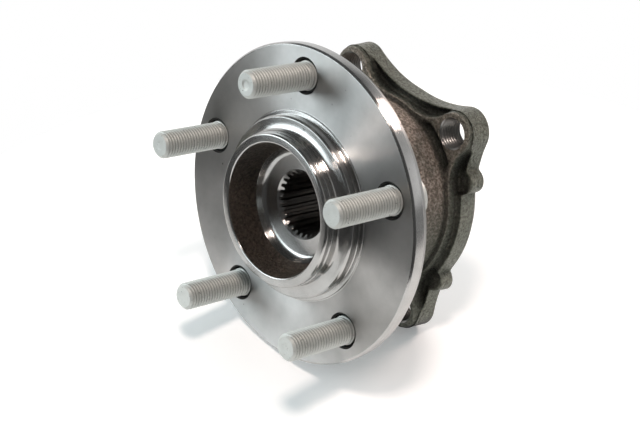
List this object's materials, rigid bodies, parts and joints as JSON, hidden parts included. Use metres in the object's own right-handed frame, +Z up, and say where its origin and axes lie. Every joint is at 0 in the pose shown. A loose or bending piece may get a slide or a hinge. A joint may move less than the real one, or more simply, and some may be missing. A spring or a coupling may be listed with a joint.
{
  "type": "wheel hub unit",
  "caption": "Flanged wheel hub unit: a studded, splined hub spins on two ball rows inside an outer ring that bolts to the knuckle.",
  "frame": {"origin": "centre of the wheel face: where the spin axis crosses the plane that the brake disc seats on", "axes": "+Y along the spin axis towards the knuckle (inboard), so the studs point to -Y; +Z up on the car, midway between the upper pair of knuckle bolts"},
  "size_m": [0.14, 0.1018, 0.14],
  "materials": {
    "turned_steel": "fine turned steel on the faces and pilots, dark forged skin in the cup",
    "zinc_flake_steel": "pale matte zinc-flake coating on rolled threads",
    "ground_steel": "ground bearing steel",
    "forged_steel": "dark grainy forged skin with machined spigot, face and threads",
    "ball_steel": "polished bearing steel",
    "cage_nylon": "moulded glass-filled nylon",
    "seal_steel": "pressed sheet steel",
    "seal_rubber": "moulded nitrile rubber",
    "slinger_steel": "pressed stainless sheet",
    "encoder_rubber": "magnetised rubber, moulded on the slinger"
  },
  "bodies": {
    "outer": {"outer_ring": "forged_steel", "outboard_seal_case": "seal_steel", "outboard_seal_lip": "seal_rubber", "inboard_seal_case": "seal_steel", "inboard_seal_lip": "seal_rubber"},
    "hub": {"hub_flange": "turned_steel", "wheel_studs": "zinc_flake_steel", "inner_ring": "ground_steel", "inboard_slinger": "slinger_steel", "encoder_ring": "encoder_rubber"},
    "outboard_row": {"outboard_cage": "cage_nylon", "outboard_ball_1": "ball_steel", "outboard_ball_2": "ball_steel", "outboard_ball_3": "ball_steel", "outboard_ball_4": "ball_steel", "outboard_ball_5": "ball_steel", "outboard_ball_6": "ball_steel", "outboard_ball_7": "ball_steel", "outboard_ball_8": "ball_steel", "outboard_ball_9": "ball_steel", "outboard_ball_10": "ball_steel", "outboard_ball_11": "ball_steel", "outboard_ball_12": "ball_steel"},
    "inboard_row": {"inboard_cage": "cage_nylon", "inboard_ball_1": "ball_steel", "inboard_ball_2": "ball_steel", "inboard_ball_3": "ball_steel", "inboard_ball_4": "ball_steel", "inboard_ball_5": "ball_steel", "inboard_ball_6": "ball_steel", "inboard_ball_7": "ball_steel", "inboard_ball_8": "ball_steel", "inboard_ball_9": "ball_steel", "inboard_ball_10": "ball_steel", "inboard_ball_11": "ball_steel", "inboard_ball_12": "ball_steel"}
  },
  "joints": [
    {"name": "hub_spin", "type": "hinge", "parent": "outer", "child": "hub", "pos_m": [0, 0.036, 0], "axis": [0, 1, 0], "continuous": true},
    {"name": "outboard_row_spin", "type": "hinge", "parent": "outer", "child": "outboard_row", "pos_m": [0, 0.024, 0], "axis": [0, 1, 0], "continuous": true},
    {"name": "inboard_row_spin", "type": "hinge", "parent": "outer", "child": "inboard_row", "pos_m": [0, 0.048, 0], "axis": [0, 1, 0], "continuous": true}
  ],
  "couplings": [
    {"joint": "outboard_row_spin", "follows": "hub_spin", "ratio": 0.4221},
    {"joint": "inboard_row_spin", "follows": "hub_spin", "ratio": 0.4221}
  ]
}
